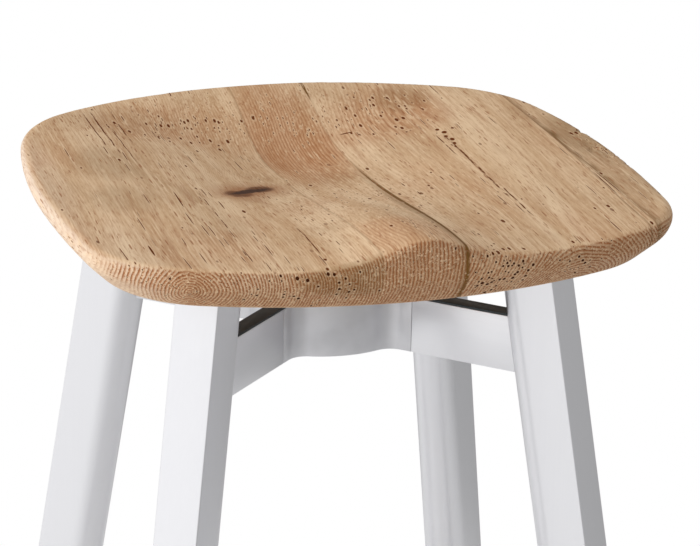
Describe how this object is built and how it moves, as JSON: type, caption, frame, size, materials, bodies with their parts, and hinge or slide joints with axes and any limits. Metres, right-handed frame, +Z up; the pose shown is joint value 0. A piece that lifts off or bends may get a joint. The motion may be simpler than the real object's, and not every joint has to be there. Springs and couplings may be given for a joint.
{
  "type": "bar stool with footrest",
  "caption": "Bar stool with a carved, edge-glued wooden seat on splayed hollow aluminium legs, an X frame under the seat and a square footrest.",
  "frame": {"origin": "at floor level on the stool's centre line, midway between the four legs", "axes": "+Z up, along the stool's height; -Y towards the front of the seat, where the pommel is; +X to the sitter's left"},
  "size_m": [0.4432, 0.4432, 0.7602],
  "materials": {
    "seat_oak": "reclaimed oak, satin sealed, open pores",
    "leg_aluminium": "fine brushed, clear anodised",
    "arm_aluminium": "fine brushed, clear anodised",
    "cast_aluminium": "bead blasted, clear anodised",
    "black_nylon": "fine-textured black nylon",
    "glide_nylon": "moulded black nylon",
    "steel": "zinc plated",
    "brass": "plain"
  },
  "bodies": {
    "root": {"seat_board_left": "seat_oak", "seat_board_centre": "seat_oak", "seat_board_right": "seat_oak", "seat_board_edge": "seat_oak", "seat_inserts": "brass", "seat_screws": "steel", "hub_screws": "steel", "hub": "cast_aluminium", "hub_cover": "black_nylon", "leg_front_left": "leg_aluminium", "arm_front_left": "arm_aluminium", "cover_strip_front_left": "black_nylon", "seat_bracket_front_left": "cast_aluminium", "foot_glide_front_left": "glide_nylon", "leg_front_right": "leg_aluminium", "arm_front_right": "arm_aluminium", "cover_strip_front_right": "black_nylon", "seat_bracket_front_right": "cast_aluminium", "foot_glide_front_right": "glide_nylon", "leg_back_right": "leg_aluminium", "arm_back_right": "arm_aluminium", "cover_strip_back_right": "black_nylon", "seat_bracket_back_right": "cast_aluminium", "foot_glide_back_right": "glide_nylon", "leg_back_left": "leg_aluminium", "arm_back_left": "arm_aluminium", "cover_strip_back_left": "black_nylon", "seat_bracket_back_left": "cast_aluminium", "foot_glide_back_left": "glide_nylon", "footrest_front": "arm_aluminium", "footrest_right": "arm_aluminium", "footrest_back": "arm_aluminium", "footrest_left": "arm_aluminium"}
  },
  "joints": []
}
